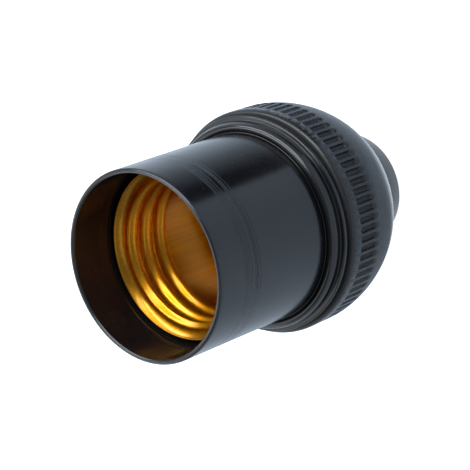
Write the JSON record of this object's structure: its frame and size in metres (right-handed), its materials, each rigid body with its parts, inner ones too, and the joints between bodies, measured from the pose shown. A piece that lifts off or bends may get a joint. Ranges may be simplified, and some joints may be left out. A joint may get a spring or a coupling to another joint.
{
  "type": "lamp holder",
  "caption": "Domed moulded lamp holder with a plain skirt, a gripped rim, a rolled brass screw shell and a threaded neck entry.",
  "frame": {"origin": "centre of the neck's end face", "axes": "+Z along the holder's axis, from the neck towards the mouth"},
  "size_m": [0.0397, 0.0396, 0.058],
  "materials": {
    "black_moulding": "glossy black moulded phenolic",
    "plated_steel": "zinc plated",
    "porcelain": "off-white porcelain",
    "shell_brass": "bright rolled sheet",
    "spring_brass": "bright strip",
    "terminal_brass": "turned and sawn"
  },
  "bodies": {
    "core_body": {"insulator_core": "porcelain", "screw_shell": "shell_brass", "centre_contact_rivet": "terminal_brass", "shell_terminal_rivet": "terminal_brass", "shell_rivets": "terminal_brass", "rivet_washers": "plated_steel", "centre_terminal": "terminal_brass", "shell_terminal": "terminal_brass"},
    "skirt_body": {"skirt": "black_moulding"},
    "cap_body": {"cap": "black_moulding", "entry_bushing": "plated_steel"},
    "spring_contact": {"centre_contact": "spring_brass"},
    "neck_screw_body": {"neck_screw": "plated_steel"},
    "centre_clamp": {"centre_terminal_screw": "plated_steel"},
    "shell_clamp": {"shell_terminal_screw": "plated_steel"}
  },
  "joints": [
    {"name": "skirt_turn", "type": "hinge", "parent": "core_body", "child": "skirt_body", "pos_m": [0, 0, 0], "axis": [0, 0, 1], "range_deg": [0, 720]},
    {"name": "cap_travel", "type": "slide", "parent": "core_body", "child": "cap_body", "axis": [0, 0, -1], "range_m": [0, 0.0061]},
    {"name": "contact_press", "type": "slide", "parent": "core_body", "child": "spring_contact", "axis": [0, 0, -1], "range_m": [0, 0.0015], "stiffness_N_per_m": 2000, "deforming": ["centre_contact"]},
    {"name": "neck_screw_turn", "type": "hinge", "parent": "cap_body", "child": "neck_screw_body", "pos_m": [0, 0.008, 0.00245], "axis": [0, 1, 0], "range_deg": [0, 1080]},
    {"name": "centre_screw_turn", "type": "hinge", "parent": "core_body", "child": "centre_clamp", "pos_m": [-0.011, 0, 0.0146], "axis": [-1, 0, 0], "range_deg": [0, 1080]},
    {"name": "shell_screw_turn", "type": "hinge", "parent": "core_body", "child": "shell_clamp", "pos_m": [0.011, 0, 0.0146], "axis": [1, 0, 0], "range_deg": [0, 1080]}
  ],
  "couplings": [
    {"joint": "cap_travel", "follows": "skirt_turn", "m_per_rad": 0.00047746}
  ]
}
